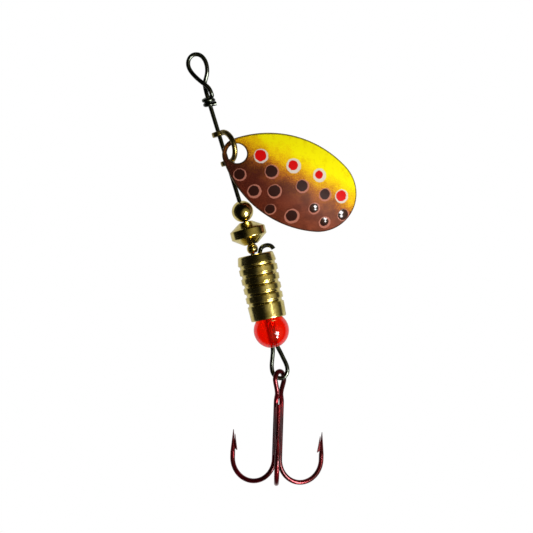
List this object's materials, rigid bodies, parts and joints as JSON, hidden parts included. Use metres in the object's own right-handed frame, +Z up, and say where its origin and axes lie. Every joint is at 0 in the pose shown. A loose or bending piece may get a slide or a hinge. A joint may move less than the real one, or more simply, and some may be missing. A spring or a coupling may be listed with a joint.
{
  "type": "inline spinner lure",
  "caption": "Wire-shaft fishing spinner with a spotted domed blade on a clevis, brass beads, a ridged brass body, a red tail bead and a treble hook",
  "frame": {"origin": "middle of the line eye, on the centre-line of the upper shaft, which lies one body radius above the table", "axes": "+Y runs along the upper shaft towards the line, +Z is up from the table the lure lies on, +X is to the side the blade lies on"},
  "size_m": [0.0374, 0.0825, 0.0139],
  "materials": {
    "shaft_wire": "black-nickelled spring steel wire",
    "clevis": "tarnished brass wire",
    "blade": "sprayed yellow to brown with spots, clear coat",
    "ball_bead": "polished brass",
    "bicone_bead": "polished turned brass",
    "spacer_bead": "polished brass",
    "body": "polished turned brass",
    "tail_bead": "clear red acrylic",
    "double_hook": "red lacquer over steel",
    "single_hook": "red lacquer over steel",
    "braze": "red lacquer over brazing metal"
  },
  "bodies": {
    "shaft": {"shaft_wire": "shaft_wire"},
    "clevis": {"clevis": "clevis"},
    "blade": {"blade": "blade"},
    "ball": {"ball_bead": "ball_bead"},
    "bicone": {"bicone_bead": "bicone_bead", "spacer_bead": "spacer_bead"},
    "body": {"body": "body"},
    "tail_bead": {"tail_bead": "tail_bead"},
    "treble": {"double_hook": "double_hook", "single_hook": "single_hook", "braze": "braze"}
  },
  "joints": [
    {"name": "clevis_spin", "type": "hinge", "parent": "shaft", "child": "clevis", "pos_m": [0, -0.01592, 0], "axis": [0, 1, 0], "continuous": true},
    {"name": "blade_swing", "type": "hinge", "parent": "clevis", "child": "blade", "pos_m": [0.00155, -0.01806, 0.00239], "axis": [-0.5635, 0.2875, 0.7745], "range_deg": [-1.5, 45]},
    {"name": "ball_spin", "type": "hinge", "parent": "shaft", "child": "ball", "pos_m": [0, -0.02815, 0], "axis": [0, 1, 0], "continuous": true},
    {"name": "bicone_spin", "type": "hinge", "parent": "shaft", "child": "bicone", "pos_m": [-0.00015, -0.03226, 0], "axis": [0.0436, 0.999, 0], "continuous": true},
    {"name": "body_spin", "type": "hinge", "parent": "shaft", "child": "body", "pos_m": [-0.00061, -0.04249, 0], "axis": [0.0872, 0.9962, 0], "continuous": true},
    {"name": "tail_bead_spin", "type": "hinge", "parent": "shaft", "child": "tail_bead", "pos_m": [-0.00133, -0.05073, 0], "axis": [0.0872, 0.9962, 0], "continuous": true},
    {"name": "treble_swing", "type": "hinge", "parent": "shaft", "child": "treble", "pos_m": [-0.00209, -0.05975, 0], "axis": [0.9962, -0.0872, 0], "range_deg": [-12, 20]}
  ]
}
